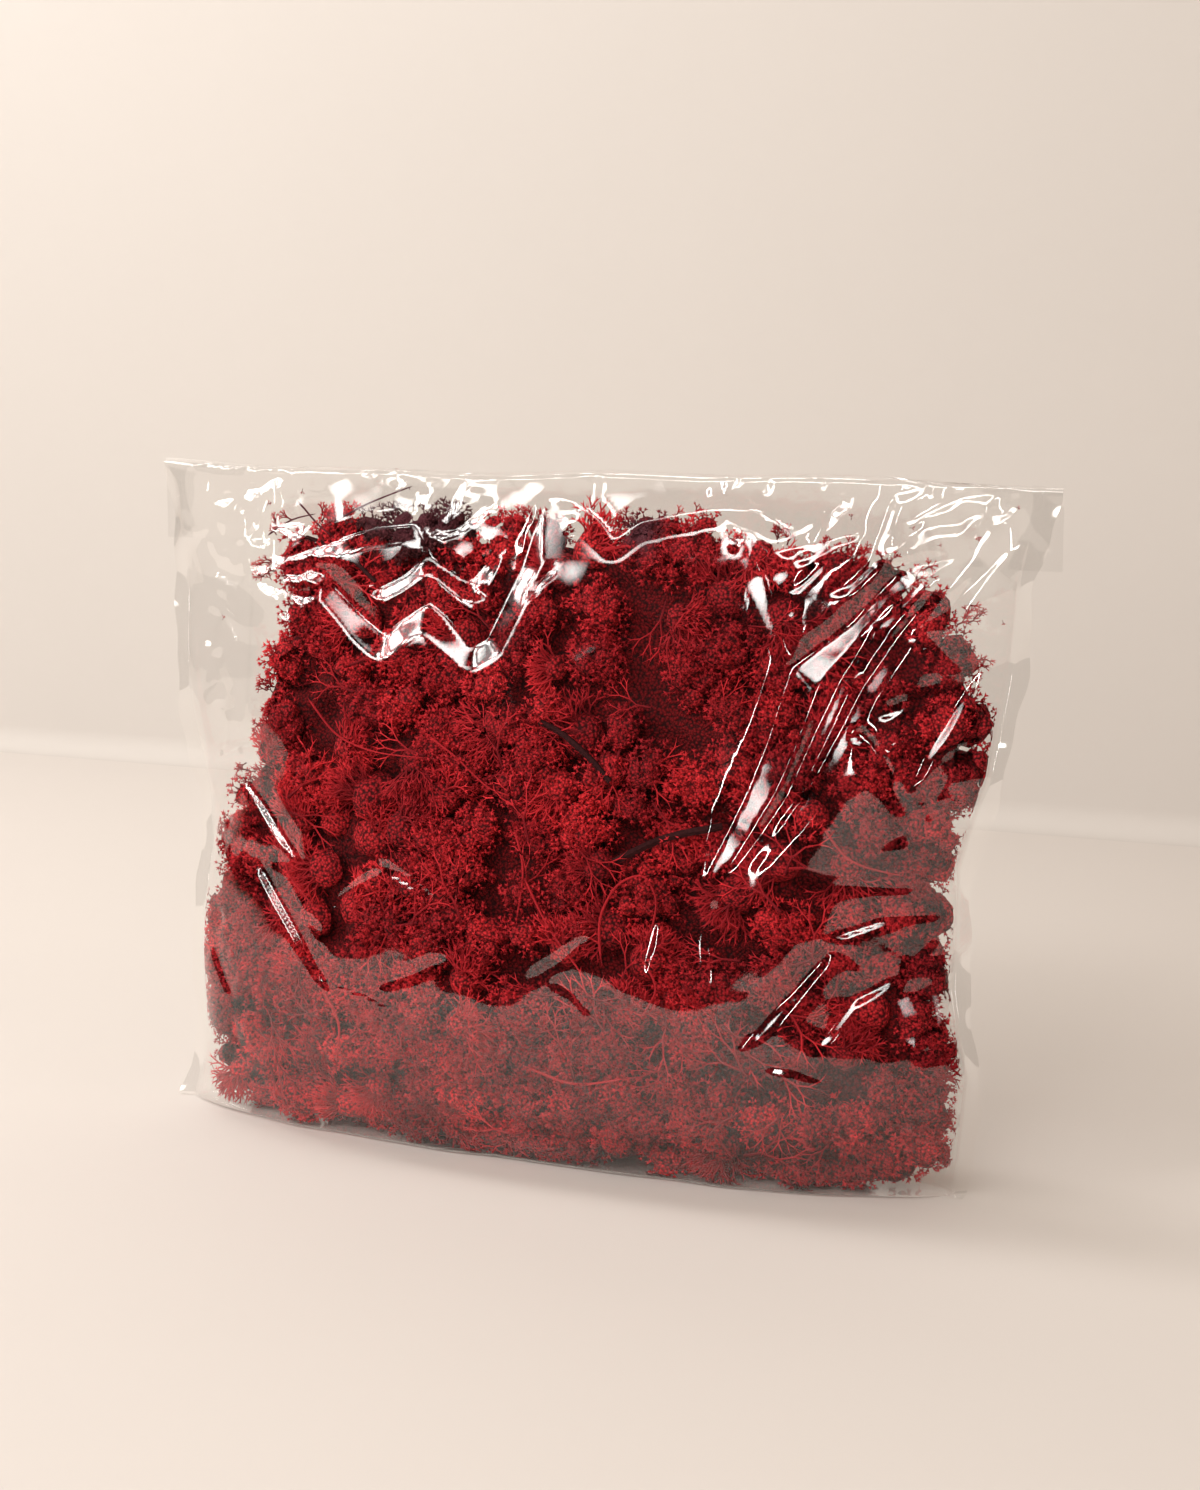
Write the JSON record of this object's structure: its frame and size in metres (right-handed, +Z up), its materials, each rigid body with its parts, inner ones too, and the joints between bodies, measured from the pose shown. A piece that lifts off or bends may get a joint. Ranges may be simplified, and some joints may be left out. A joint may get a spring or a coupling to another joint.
{
  "type": "bagged reindeer moss clump",
  "caption": "Clear film bag standing upright on its base, packed full of fine-branched dyed reindeer moss for craft and floral work, with its lip folded over behind.",
  "frame": {"origin": "on the floor under the middle of the bag's top band", "axes": "+X along the bag's width, to the right as seen from its front; +Y towards its back, where the lip hangs; +Z up"},
  "size_m": [0.3106, 0.0748, 0.2256],
  "materials": {
    "clear_film": "clear crisp packaging film, glossy and creased",
    "crimson_moss": "dyed crimson lichen, matt, very fine branching",
    "brown_moss": "unevenly dyed purple-brown lichen, matt",
    "dark_twig": "dark dyed bits of twig and stem, dull"
  },
  "bodies": {
    "root": {"film_bag": "clear_film", "moss_tuft_01": "crimson_moss", "moss_tuft_02": "crimson_moss", "moss_tuft_03": "crimson_moss", "moss_tuft_04": "crimson_moss", "moss_tuft_05": "crimson_moss", "moss_tuft_06": "crimson_moss", "moss_tuft_07": "crimson_moss", "moss_tuft_08": "crimson_moss", "moss_tuft_09": "crimson_moss", "moss_tuft_10": "crimson_moss", "moss_tuft_11": "crimson_moss", "moss_tuft_12": "crimson_moss", "moss_tuft_13": "crimson_moss", "moss_tuft_14": "crimson_moss", "moss_tuft_15": "crimson_moss", "moss_tuft_16": "crimson_moss", "moss_tuft_17": "crimson_moss", "moss_tuft_18": "brown_moss", "twig_01": "dark_twig", "twig_02": "dark_twig", "twig_03": "dark_twig"}
  },
  "joints": []
}
